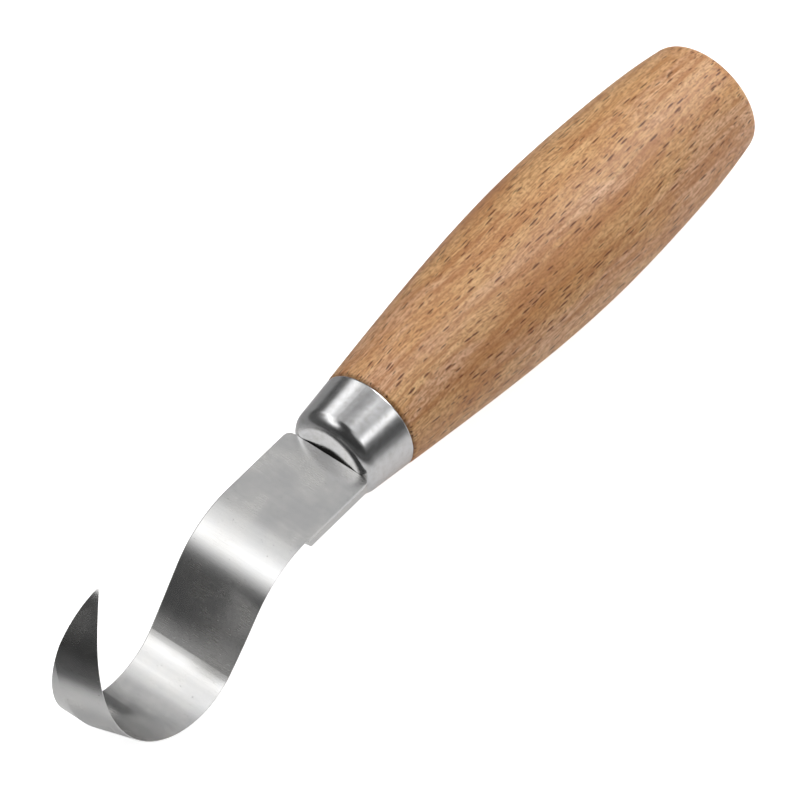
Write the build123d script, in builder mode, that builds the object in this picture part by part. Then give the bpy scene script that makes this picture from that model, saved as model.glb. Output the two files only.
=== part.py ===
from build123d import *
import os

# Hook knife: a turned beech handle, a pressed steel cup ferrule and a bent
# steel blade whose hidden tang runs back through the ferrule into the wood.
# Millimetres.  The origin is the centre of the handle's flat butt end.
# +X runs along the handle towards the hook.
# +Z is the side that the hook opens to.
# +Y is the side that the cutting edge is ground on.

# ---------------------------------------------------------------- handle
handle_length = 98.5         # butt end to the shoulder against the ferrule
butt_radius = 11.7           # side profile carried to the butt, before rounding
butt_rounding = 2.7
swell_rear = (8.0, 13.0)     # (x, radius) points on the side profile
swell_start = (24.0, 14.35)
swell_peak = (43.5, 14.95)
swell_front = (73.0, 13.25)
shoulder_radius = 10.45      # wood beside the ferrule
shoulder_rounding = 0.7
tenon_length = 9.3
tenon_gap = 0.1              # air round the tenon, inside the ferrule
tenon_lead = 0.8             # chamfer at the tenon's end

# --------------------------------------------------------------- ferrule
ferrule_length = 11.7
ferrule_rear_radius = 10.4
ferrule_front_radius = 9.1
ferrule_wall = 1.0
ferrule_face = 1.2           # thickness of the closed front face
ferrule_dish = 1.0           # how far the middle of that face is pressed in
ferrule_front_rounding = 2.8
ferrule_rear_rounding = 0.5

# ----------------------------------------------------------------- blade
strip_width = 19.1
strip_thickness = 2.4
strip_chamfer = 0.25
shoulder_inset = 0.25        # the rounded rim ends short of the ferrule's full length
shoulder_corner = 1.6        # rounded corners beside the ferrule
ricasso_length = 16.85       # flat part in front of the ferrule
drop_radius = 18.4           # first bend, downwards, on the upper face
drop_angle = 53.0
drop_length = 13.0           # straight run down into the hook
trough_radius = 12.5         # tighter bend at the bottom of the hook
trough_end_angle = 17.0      # upward slope where the tighter bend ends
hook_radius = 14.75          # rest of the hook, on the inner face
hook_end_angle = 171.0       # slope where the strip's blank ends

# cutting edge and bevel, measured along the strip from its end at the ferrule
plunge_start = 16.35         # bevel's first touch on the outer face
edge_start = 17.75           # full bevel from here to the tip
edge_start_y = 9.25
edge_run = 83.3              # length of strip that is sharpened
edge_sweep = 18.75           # how far the edge crosses the strip by the tip
edge_power = 3.3             # how late it crosses
edge_land = 0.15             # thickness left at the edge
bevel_width = 8.5
station_step = 2.75          # spacing of the bevel's cross-sections
tool_margin = 0.6            # how far the cutting shapes stand clear

# ------------------------------------------------------------------ tang
tang_length = 58.0           # from the ferrule's front face, backwards
tang_width = 8.0
tang_thickness = 1.6         # thinner than the strip, so the gap shows as one line
tang_end_width = 5.0
tang_slot_width = 8.4
tang_hole_length = 60.0

front_x = handle_length + ferrule_length
strip_x = front_x - shoulder_inset
top_z = strip_thickness / 2
half_width = strip_width / 2

os.makedirs("parts", exist_ok=True)


# ================================================================ handle
with BuildPart() as handle:
    with BuildSketch(Plane.XZ):
        with BuildLine():
            side = Spline(
                (0, butt_radius),
                swell_rear,
                swell_start,
                swell_peak,
                swell_front,
                (handle_length, shoulder_radius),
            )
            Line((0, 0), side @ 0)
            Line(side @ 1, (handle_length, 0))
            Line((handle_length, 0), (0, 0))
        make_face()
    revolve(axis=Axis.X)
    butt_edge = handle.edges().filter_by(GeomType.CIRCLE).sort_by(Axis.X)[0]
    fillet(butt_edge, radius=butt_rounding)
    shoulder_edge = handle.edges().filter_by(GeomType.CIRCLE).sort_by(Axis.X)[-1]
    fillet(shoulder_edge, radius=shoulder_rounding)

    # tenon that fills the ferrule
    tenon_taper = (ferrule_rear_radius - ferrule_front_radius) / ferrule_length
    tenon_rear = ferrule_rear_radius - ferrule_wall - tenon_gap
    tenon_front = tenon_rear - tenon_taper * tenon_length
    tenon_end_x = handle_length + tenon_length
    with BuildSketch(Plane.XZ):
        with BuildLine():
            Polyline(
                (handle_length - tenon_length, 0),
                (handle_length - tenon_length, tenon_front),
                (handle_length, tenon_rear),
                (tenon_end_x - tenon_lead, tenon_front),
                (tenon_end_x, tenon_front - tenon_lead),
                (tenon_end_x, 0),
                close=True,
            )
        make_face()
    revolve(axis=Axis.X)

    # blind hole that the tang is driven into
    with BuildSketch(Plane.XY.offset(-tang_thickness / 2)):
        with Locations((front_x - tang_hole_length, 0)):
            Rectangle(
                tang_hole_length,
                tang_slot_width,
                align=(Align.MIN, Align.CENTER),
            )
    extrude(amount=tang_thickness, mode=Mode.SUBTRACT)
handle.part.label = "handle"
export_step(handle.part, "parts/handle.step")


# =============================================================== ferrule
with BuildPart() as ferrule:
    with BuildSketch(Plane.XZ):
        with BuildLine():
            Polyline(
                (handle_length, ferrule_rear_radius - ferrule_wall),
                (handle_length, ferrule_rear_radius),
                (front_x, ferrule_front_radius),
                (front_x - ferrule_dish, 0),
                (front_x - ferrule_dish - ferrule_face, 0),
                (front_x - ferrule_face, ferrule_front_radius - ferrule_wall),
                close=True,
            )
        make_face()
    revolve(axis=Axis.X)
    rims = ferrule.edges().filter_by(GeomType.CIRCLE).sort_by(Axis.X)
    fillet(rims[-1], radius=ferrule_front_rounding)
    rear_rims = ferrule.edges().filter_by(GeomType.CIRCLE).group_by(Axis.X)[0]
    fillet(rear_rims.sort_by(SortBy.RADIUS)[-1], radius=ferrule_rear_rounding)

    # slot that the tang passes through
    with BuildSketch(Plane.XY.offset(-tang_thickness / 2)):
        with Locations((front_x - ferrule_dish, 0)):
            Rectangle(4 * ferrule_face, tang_slot_width)
    extrude(amount=tang_thickness, mode=Mode.SUBTRACT)
ferrule.part.label = "ferrule"
export_step(ferrule.part, "parts/ferrule.step")


# ================================================================= blade
# the strip's inner face, seen from the side and drawn flat: x is X, y is Z
with BuildLine() as inner_face:
    flat = Line((strip_x, top_z), (strip_x + ricasso_length, top_z))
    drop = JernArc(flat @ 1, flat % 1, drop_radius, -drop_angle)
    run = PolarLine(drop @ 1, drop_length, direction=drop % 1)
    trough = JernArc(run @ 1, run % 1, trough_radius, drop_angle + trough_end_angle)
    hook = JernArc(trough @ 1, trough % 1, hook_radius, hook_end_angle - trough_end_angle)
strip_path = inner_face.wire()


def edge_y(along):
    """Where the cutting edge lies across the strip, at a length along it."""
    share = max(0.0, along - edge_start) / edge_run
    return edge_start_y - edge_sweep * share**edge_power


def across(along):
    """Plane square to the strip: its x is +Y and its y leaves the inner face."""
    point = strip_path.position_at(along, position_mode=PositionMode.LENGTH)
    ahead = strip_path.tangent_at(along, position_mode=PositionMode.LENGTH)
    return Plane(origin=(point.X, 0, point.Y), x_dir=(0, 1, 0), z_dir=(ahead.X, 0, ahead.Y))


def removed_section(edge, land, bevel_reach):
    """Steel ground away beyond the edge and over the bevel, in one section."""
    below = -(strip_thickness + tool_margin)
    beyond = half_width + 2 * tool_margin
    return [
        (edge, tool_margin),
        (beyond, tool_margin),
        (beyond, below),
        (edge - bevel_reach, below),
        (edge, -land),
    ]


# how far the bevel reaches across by the time it is clear of the outer face
full_reach = bevel_width * (strip_thickness + tool_margin - edge_land) / (strip_thickness - edge_land)
last_station = strip_path.length
station_count = round((last_station - edge_start) / station_step)

with BuildPart() as ground_away:
    for index in range(station_count + 1):
        along = edge_start + (last_station - edge_start) * index / station_count
        with BuildSketch(across(along)):
            Polygon(*removed_section(edge_y(along), edge_land, full_reach), align=None)
    loft()

with BuildPart() as plunge:
    with BuildSketch(across(plunge_start)):
        Polygon(
            *removed_section(half_width + tool_margin, strip_thickness, 2 * tool_margin),
            align=None,
        )
    with BuildSketch(across(edge_start)):
        Polygon(*removed_section(edge_start_y, edge_land, full_reach), align=None)
    loft(ruled=True)

with BuildPart() as blade:
    # bent strip of one thickness
    with BuildSketch(Plane.XZ):
        with BuildLine():
            add(inner_face.line)
            under = Line((strip_x, -top_z), (strip_x + ricasso_length, -top_z))
            under_drop = JernArc(
                under @ 1, under % 1, drop_radius - strip_thickness, -drop_angle
            )
            under_run = PolarLine(under_drop @ 1, drop_length, direction=under_drop % 1)
            under_trough = JernArc(
                under_run @ 1,
                under_run % 1,
                trough_radius + strip_thickness,
                drop_angle + trough_end_angle,
            )
            under_hook = JernArc(
                under_trough @ 1,
                under_trough % 1,
                hook_radius + strip_thickness,
                hook_end_angle - trough_end_angle,
            )
            Line(under @ 0, flat @ 0)
            Line(under_hook @ 1, hook @ 1)
        make_face()
    extrude(amount=half_width, both=True)
    long_edges = blade.faces().filter_by(Axis.Y).edges()
    long_edges = long_edges.filter_by(lambda edge: edge.length > 3 * strip_thickness)
    chamfer(long_edges, length=strip_chamfer)
    corners = blade.edges().filter_by(Axis.Z).group_by(Axis.X)[0]
    fillet(corners, radius=shoulder_corner)
    add(ground_away.part, mode=Mode.SUBTRACT)
    add(plunge.part, mode=Mode.SUBTRACT)

    # tang, hidden in the ferrule and the handle
    with BuildSketch(Plane.XY.offset(-tang_thickness / 2)):
        Polygon(
            (strip_x + shoulder_corner, tang_width / 2),
            (front_x - tang_length, tang_end_width / 2),
            (front_x - tang_length, -tang_end_width / 2),
            (strip_x + shoulder_corner, -tang_width / 2),
            align=None,
        )
    extrude(amount=tang_thickness)
blade.part.label = "blade"
export_step(blade.part, "parts/blade.step")
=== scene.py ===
import math

import bpy
from mathutils import Matrix, Vector


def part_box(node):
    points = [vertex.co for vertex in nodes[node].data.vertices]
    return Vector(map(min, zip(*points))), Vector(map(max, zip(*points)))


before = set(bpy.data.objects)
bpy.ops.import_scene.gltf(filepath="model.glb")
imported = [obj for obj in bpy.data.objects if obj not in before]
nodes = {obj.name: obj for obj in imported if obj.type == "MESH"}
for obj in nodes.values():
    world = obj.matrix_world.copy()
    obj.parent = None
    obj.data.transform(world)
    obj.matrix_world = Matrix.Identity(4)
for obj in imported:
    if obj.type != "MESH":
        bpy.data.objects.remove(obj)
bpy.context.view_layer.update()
scene = bpy.context.scene
MM = 0.001

# ------------------------------------------------------------------ camera
TARGET = Vector((0.0955, 0.0047, 0.0065))
DISTANCE = 1.6667
AZIMUTH = math.radians(40.85)        # from +X towards +Y
ELEVATION = math.radians(50.89)
ROLL = math.radians(2.1)

camera_data = bpy.data.cameras.new("camera")
camera_data.lens = 420.0
camera_data.sensor_width = 36.0
camera_data.clip_end = 50.0
camera = bpy.data.objects.new("camera", camera_data)
scene.collection.objects.link(camera)
scene.camera = camera
level = math.cos(ELEVATION)
back = Vector((math.cos(AZIMUTH) * level, math.sin(AZIMUTH) * level, math.sin(ELEVATION)))
camera.matrix_world = (
    Matrix.Translation(TARGET + back * DISTANCE)
    @ back.to_track_quat("Z", "Y").to_matrix().to_4x4()
    @ Matrix.Rotation(-ROLL, 4, "Z")
)
scene.view_settings.view_transform = "Standard"


# ------------------------------------------------------------ node helpers
class Graph:
    """Short names for building a node tree. An input may be a number, a colour or a socket."""

    def __init__(self, tree):
        self.tree = tree

    def node(self, kind, **inputs):
        made = self.tree.nodes.new(kind)
        for name, value in inputs.items():
            self.set(made.inputs[name], value)
        return made

    def set(self, socket, value):
        if isinstance(value, bpy.types.NodeSocket):
            self.tree.links.new(value, socket)
        else:
            socket.default_value = value

    def math(self, operation, *values):
        made = self.tree.nodes.new("ShaderNodeMath")
        made.operation = operation
        for socket, value in zip(made.inputs, values):
            self.set(socket, value)
        return made.outputs[0]

    def ramp(self, value, low, high, bottom=0.0, top=1.0):
        """Eases from bottom to top while value goes from low to high."""
        made = self.tree.nodes.new("ShaderNodeMapRange")
        made.interpolation_type = "SMOOTHSTEP"
        for socket, number in zip(made.inputs, (value, low, high, bottom, top)):
            self.set(socket, number)
        return made.outputs[0]

    def mix(self, factor, first, second):
        made = self.tree.nodes.new("ShaderNodeMix")
        made.data_type = "RGBA"
        self.set(made.inputs["Factor"], factor)
        self.set(made.inputs["A"], first)
        self.set(made.inputs["B"], second)
        return made.outputs["Result"]

    def scaled(self, vector, x, y, z):
        made = self.tree.nodes.new("ShaderNodeVectorMath")
        made.operation = "MULTIPLY"
        self.set(made.inputs[0], vector)
        made.inputs[1].default_value = (x, y, z)
        return made.outputs[0]

    def dot(self, vector, direction):
        made = self.tree.nodes.new("ShaderNodeVectorMath")
        made.operation = "DOT_PRODUCT"
        self.set(made.inputs[0], vector)
        made.inputs[1].default_value = direction
        return made.outputs["Value"]

    def noise(self, vector, scale, detail=3.0, roughness=0.5, distortion=0.0):
        made = self.node(
            "ShaderNodeTexNoise",
            Scale=scale,
            Detail=detail,
            Roughness=roughness,
            Distortion=distortion,
        )
        self.set(made.inputs["Vector"], vector)
        return made.outputs["Fac"]


def rgb(red, green, blue):
    """Linear colour of an 8-bit screen colour, by the sRGB curve."""
    linear = []
    for level_8_bit in (red, green, blue):
        share = level_8_bit / 255
        linear.append(share / 12.92 if share <= 0.04045 else ((share + 0.055) / 1.055) ** 2.4)
    return (*linear, 1.0)


# ------------------------------------------------------------------- world
# A dim studio. The room is dark at the horizon, grows paler upwards and has a
# dark patch right overhead. A dark screen stands beyond the hook, and five soft
# panels of light stand round the knife. Bearings are in degrees from +X towards
# +Y and heights are in degrees above the horizon.
GLOW_LOW = 0.11          # faint light at the horizon
GLOW_HIGH = 0.035        # and higher up
ROOM_LIGHT = 0.58        # the room just below the dark patch
SCREEN_CUT = 0.96        # share of the room's light that the screen takes away

# bearing, half its width and its softness; lowest and highest height and their
# softness; and, for a panel, its radiance
SCREEN = ((26, 50, 12), (-20, 80, 6))
PANELS = (
    ((-66, 41, 14), (43, 63, 12), 1.6),      # broad panel on the spine side
    ((-114, 15, 8), (28, 48, 6), 1.1),       # lower panel beside it, nearer the butt
    ((106, 14, 5), (33, 46, 4), 1.5),        # strip on the cutting-edge side
    ((132, 10, 5), (18, 32, 4), 1.8),        # low light beside that strip
    ((170, 24, 8), (34, 66, 8), 5.0),        # bright panel behind the butt
)

world = bpy.data.worlds.new("studio")
scene.world = world
world.use_nodes = True
sky = Graph(world.node_tree)
background = world.node_tree.nodes["Background"]
direction = sky.node("ShaderNodeTexCoord").outputs["Generated"]
split = sky.node("ShaderNodeSeparateXYZ")
sky.set(split.inputs[0], direction)
height = sky.math("MULTIPLY", sky.math("ARCSINE", split.outputs["Z"]), 180 / math.pi)
x_squared = sky.math("MULTIPLY", split.outputs["X"], split.outputs["X"])
level_squared = sky.math("MULTIPLY_ADD", split.outputs["Y"], split.outputs["Y"], x_squared)
level_length = sky.math("SQRT", level_squared)


def bearing_window(centre, half, soft):
    """1 within half degrees of a bearing, easing to 0 over soft degrees each way."""
    angle = math.radians(centre)
    along = sky.dot(direction, (math.cos(angle), math.sin(angle), 0))
    cosine = sky.math("DIVIDE", along, level_length)
    outer = math.cos(math.radians(half + soft))
    inner = math.cos(math.radians(half - soft))
    return sky.ramp(cosine, outer, inner)


def height_window(low, high, soft):
    """1 between two heights in degrees, easing to 0 over soft degrees each way."""
    rise = sky.ramp(height, low - soft, low + soft)
    fall = sky.ramp(height, high - soft, high + soft, 1.0, 0.0)
    return sky.math("MULTIPLY", rise, fall)


def window(bearing, heights):
    return sky.math("MULTIPLY", bearing_window(*bearing), height_window(*heights))


horizon_glow = sky.ramp(height, 0, 30, GLOW_LOW, GLOW_HIGH)
room = sky.ramp(height, 10, 62, 0.0, ROOM_LIGHT)
room = sky.math("MULTIPLY", room, sky.ramp(height, 64, 76, 1.0, 0.0))
unscreened = sky.math("MULTIPLY_ADD", window(*SCREEN), -SCREEN_CUT, 1.0)
room = sky.math("MULTIPLY", room, unscreened)
light = sky.math("ADD", horizon_glow, room)
for bearing, heights, radiance in PANELS:
    light = sky.math("MULTIPLY_ADD", window(bearing, heights), radiance, light)
sky.set(background.inputs["Color"], light)
background.inputs["Strength"].default_value = 1.0


# ------------------------------------------------------------------- floor
# tilted so that the handle's belly and the bottom of the hook both rest on it
FLOOR_TILT = math.radians(4.0)
FLOOR_HALF = 6.0
FLOOR_X = 0.1593             # where the bottom of the hook stands
FLOOR_DROP = 0.1 * MM        # air under the hook
BOUNCE_DROP = 0.3 * MM
FLOOR_GLOW = 0.85
BOUNCE_COLOUR = 0.78         # grey of the bounce floor at its palest
BOUNCE_GLOW = 0.2
hook_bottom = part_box("blade")[0].z


def floor_plane(name, drop):
    mesh = bpy.data.meshes.new(name)
    corners = [(-FLOOR_HALF, -FLOOR_HALF, 0), (FLOOR_HALF, -FLOOR_HALF, 0)]
    corners += [(FLOOR_HALF, FLOOR_HALF, 0), (-FLOOR_HALF, FLOOR_HALF, 0)]
    mesh.from_pydata(corners, [], [(0, 1, 2, 3)])
    plane = bpy.data.objects.new(name, mesh)
    scene.collection.objects.link(plane)
    plane.matrix_world = (
        Matrix.Translation((FLOOR_X, 0, hook_bottom - drop)) @ Matrix.Rotation(FLOOR_TILT, 4, "Y")
    )
    return plane


def floor_material(name):
    """Matt and glowing from above, and clear from below, so that the underside can be seen."""
    made = bpy.data.materials.new(name)
    made.use_nodes = True
    graph = Graph(made.node_tree)
    shader = made.node_tree.nodes["Principled BSDF"]
    shader.inputs["Roughness"].default_value = 1.0
    shader.inputs["Specular IOR Level"].default_value = 0.0
    shader.inputs["Emission Color"].default_value = (1, 1, 1, 1)
    clear = graph.node("ShaderNodeBsdfTransparent").outputs[0]
    below = graph.node("ShaderNodeNewGeometry").outputs["Backfacing"]
    sided = graph.node("ShaderNodeMixShader", Fac=below)
    graph.set(sided.inputs[1], shader.outputs[0])
    graph.set(sided.inputs[2], clear)
    graph.set(made.node_tree.nodes["Material Output"].inputs["Surface"], sided.outputs[0])
    return made, graph, shader


def white_floor():
    """The floor that the camera sees. It neither lights nor shades the knife."""
    plane = floor_plane("floor", FLOOR_DROP)
    made, graph, shader = floor_material("floor_white")
    graph.set(shader.inputs["Base Color"], (0.8, 0.8, 0.8, 1))
    graph.set(shader.inputs["Emission Strength"], FLOOR_GLOW)
    plane.data.materials.append(made)
    plane.visible_diffuse = False
    plane.visible_glossy = False
    plane.visible_shadow = False


def bounce_floor():
    """The floor that the knife reflects: grey, and darker on the spine side, beyond the
    hook and farther out on the edge side."""
    plane = floor_plane("floor_bounce", BOUNCE_DROP)
    made, graph, shader = floor_material("floor_grey")
    place = graph.node("ShaderNodeSeparateXYZ")
    graph.set(place.inputs[0], graph.node("ShaderNodeTexCoord").outputs["Object"])
    spine_side = graph.ramp(place.outputs["Y"], -0.06, 0.0, 0.4, 1.0)
    ahead = graph.ramp(place.outputs["X"], 0.02, 0.15, 1.0, 0.2)
    beside = graph.ramp(place.outputs["Y"], 0.04, 0.18, 1.0, 0.3)
    paleness = graph.math("MULTIPLY", spine_side, graph.math("MULTIPLY", ahead, beside))
    graph.set(shader.inputs["Base Color"], graph.math("MULTIPLY", paleness, BOUNCE_COLOUR))
    graph.set(shader.inputs["Emission Strength"], graph.math("MULTIPLY", paleness, BOUNCE_GLOW))
    plane.data.materials.append(made)


white_floor()
bounce_floor()


# --------------------------------------------------------------- materials
ALONG = (1.0, 0.0, 0.0)                      # along the handle
RAY = (0.0, 0.47, 0.883)                     # the wood's rays run across the grain
ACROSS = (0.0, 0.883, -0.47)                 # square to both
TANG_TO_STRIP = (109.86 * MM, 109.94 * MM)   # X where the tang's painted gap shade meets the strip
EASING = (145.4 * MM, 154.4 * MM)            # X where the inner face's shading eases
EASING_DEPTH = 2.2 * MM


def material(name):
    made = bpy.data.materials.new(name)
    made.use_nodes = True
    graph = Graph(made.node_tree)
    shader = made.node_tree.nodes["Principled BSDF"]
    place = graph.node("ShaderNodeTexCoord").outputs["Object"]
    return made, graph, shader, place


def bump(graph, shader, layers):
    """Adds height layers (socket, metres), one on top of the other."""
    normal = None
    for height_map, depth in layers:
        made = graph.node("ShaderNodeBump", Strength=1.0, Distance=depth)
        graph.set(made.inputs["Height"], height_map)
        if normal is not None:
            graph.set(made.inputs["Normal"], normal)
        normal = made.outputs["Normal"]
    graph.set(shader.inputs["Normal"], normal)


def blade_steel():
    made, graph, shader, place = material("blade_steel")
    along = graph.dot(place, ALONG)
    # grinding marks run across the strip, which is along Y everywhere on it
    fine = graph.noise(graph.scaled(place, 9000, 260, 9000), 1.0, 2.0)
    coarse = graph.noise(graph.scaled(place, 1400, 60, 1400), 1.0, 3.0)
    blotch = graph.noise(place, 160, 3.0, 0.6)
    grit = graph.noise(place, 3500, 2.0, 0.6)
    pits = graph.noise(place, 2600, 1.0)
    tone = graph.mix(graph.ramp(blotch, 0.3, 0.7), rgb(203, 203, 203), rgb(212, 211, 209))
    tone = graph.mix(graph.ramp(coarse, 0.35, 0.7, 0.0, 0.12), tone, rgb(190, 190, 191))
    tone = graph.mix(graph.ramp(pits, 0.74, 0.8), tone, rgb(120, 118, 116))
    # painted shade: the tang is coloured near black, so the gap at the ferrule, the only place it
    # shows, reads as a dark shadow line
    painted_gap_shade = graph.ramp(along, *TANG_TO_STRIP, 1.0, 0.0)
    tone = graph.mix(painted_gap_shade, tone, rgb(30, 29, 28))
    graph.set(shader.inputs["Base Color"], tone)
    shader.inputs["Metallic"].default_value = 1.0
    rough = graph.math("MULTIPLY_ADD", fine, 0.1, 0.17)
    rough = graph.math("MULTIPLY_ADD", graph.ramp(blotch, 0.35, 0.7), 0.05, rough)
    graph.set(shader.inputs["Roughness"], rough)

    # shading only: on the inner face the straight run seems to ease into the hook
    # sooner than the strip's geometry does
    facing = graph.node("ShaderNodeSeparateXYZ")
    graph.set(facing.inputs[0], graph.node("ShaderNodeNewGeometry").outputs["True Normal"])
    inner_face = graph.math("GREATER_THAN", facing.outputs["Z"], 0.2)
    easing = graph.math("MULTIPLY", graph.ramp(along, *EASING), inner_face)
    bump(graph, shader, [(easing, EASING_DEPTH), (grit, 0.002 * MM)])
    return made


def ferrule_steel():
    made, graph, shader, place = material("ferrule_steel")
    mottle = graph.noise(place, 900, 3.0, 0.6)
    blotch = graph.noise(place, 240, 2.0)
    scratches = graph.noise(graph.scaled(place, 300, 6000, 6000), 1.0, 2.0)
    tone = graph.mix(graph.ramp(mottle, 0.4, 0.75), rgb(212, 212, 213), rgb(200, 199, 198))
    graph.set(shader.inputs["Base Color"], tone)
    shader.inputs["Metallic"].default_value = 1.0
    rough = graph.math("MULTIPLY_ADD", graph.ramp(blotch, 0.3, 0.8), 0.06, 0.2)
    graph.set(shader.inputs["Roughness"], rough)
    bump(graph, shader, [(mottle, 0.003 * MM), (scratches, 0.0008 * MM)])
    return made


def beech():
    made, graph, shader, place = material("beech")
    along = graph.dot(place, ALONG)
    across = graph.dot(place, ACROSS)
    depth = graph.dot(place, RAY)
    drift = graph.noise(graph.scaled(place, 20, 45, 45), 1.0, 2.0)
    across = graph.math("ADD", across, graph.math("MULTIPLY_ADD", drift, 0.005, -0.0025))

    def stretched(x_scale, side_scale, depth_scale, shift=0.0):
        joined = graph.node("ShaderNodeCombineXYZ")
        graph.set(joined.inputs["X"], graph.math("MULTIPLY_ADD", along, x_scale, shift))
        graph.set(joined.inputs["Y"], graph.math("MULTIPLY_ADD", across, side_scale, shift))
        graph.set(joined.inputs["Z"], graph.math("MULTIPLY", depth, depth_scale))
        return joined.outputs[0]

    # growth rings: soft uneven bands a few millimetres wide, with a pinkish cast here and there
    figure = graph.noise(stretched(22, 230, 60), 1.0, 4.0, 0.6, 0.5)
    pink = graph.noise(stretched(26, 170, 60, 3.7), 1.0, 3.0, 0.6, 0.4)
    streak = graph.noise(stretched(55, 1000, 300, 7.7), 1.0, 3.0, 0.6, 0.3)
    fibre = graph.noise(stretched(420, 4200, 1500), 1.0, 3.0, 0.65)
    curl = graph.noise(stretched(1500, 2600, 900, 2.1), 1.0, 2.0, 0.6)
    tone = graph.mix(graph.ramp(figure, 0.36, 0.64), rgb(222, 162, 104), rgb(246, 200, 142))
    # pattern, where it starts and is full, its strength and its colour
    for pattern, start, full, strength, colour in (
        (pink, 0.46, 0.66, 0.7, rgb(246, 202, 166)),
        (streak, 0.42, 0.7, 0.8, rgb(198, 134, 80)),
        (fibre, 0.4, 0.66, 0.75, rgb(184, 118, 68)),
        (curl, 0.46, 0.7, 0.6, rgb(170, 104, 60)),
    ):
        tone = graph.mix(graph.ramp(pattern, start, full, 0.0, strength), tone, colour)

    # ray flecks: short dark dashes along the grain
    def flecks(length, width, gap, share, shift):
        """A dash of about that length and width in mm at each kept point of a stretched
        scatter, whose points are gap mm apart across the grain. share of them are kept."""
        cell = graph.node("ShaderNodeTexVoronoi", Scale=1.0, Randomness=0.9)
        per_metre = 1 / (gap * MM)
        points = stretched(per_metre * width / length, per_metre, per_metre, shift)
        graph.set(cell.inputs["Vector"], points)
        draw = graph.node("ShaderNodeSeparateColor")
        graph.set(draw.inputs[0], cell.outputs["Color"])
        least = 0.35 * width / gap
        spread = 0.4 * width / gap
        radius = graph.math("MULTIPLY_ADD", draw.outputs["Green"], spread, least)
        inside = graph.math("SUBTRACT", 1.0, graph.math("DIVIDE", cell.outputs["Distance"], radius))
        kept = graph.math("LESS_THAN", draw.outputs["Red"], share)
        return graph.math("MULTIPLY", graph.ramp(inside, 0.0, 0.4), kept)

    bold = flecks(2.2, 0.3, 0.6, 0.78, 0.0)
    small = flecks(1.3, 0.18, 0.42, 0.45, 5.3)
    tone = graph.mix(graph.math("MULTIPLY", small, 0.6), tone, rgb(140, 82, 42))
    tone = graph.mix(graph.math("MULTIPLY", bold, 0.95), tone, rgb(108, 54, 14))
    graph.set(shader.inputs["Base Color"], tone)
    rough = graph.math("MULTIPLY_ADD", fibre, 0.12, 0.36)
    graph.set(shader.inputs["Roughness"], rough)
    dents = graph.math("MULTIPLY", graph.math("ADD", bold, small), -1.0)
    bump(graph, shader, [(fibre, 0.02 * MM), (curl, 0.01 * MM), (dents, 0.02 * MM)])
    return made


for name, make in (("blade", blade_steel), ("ferrule", ferrule_steel), ("handle", beech)):
    piece = nodes[name]
    piece.data.materials.clear()
    piece.data.materials.append(make())
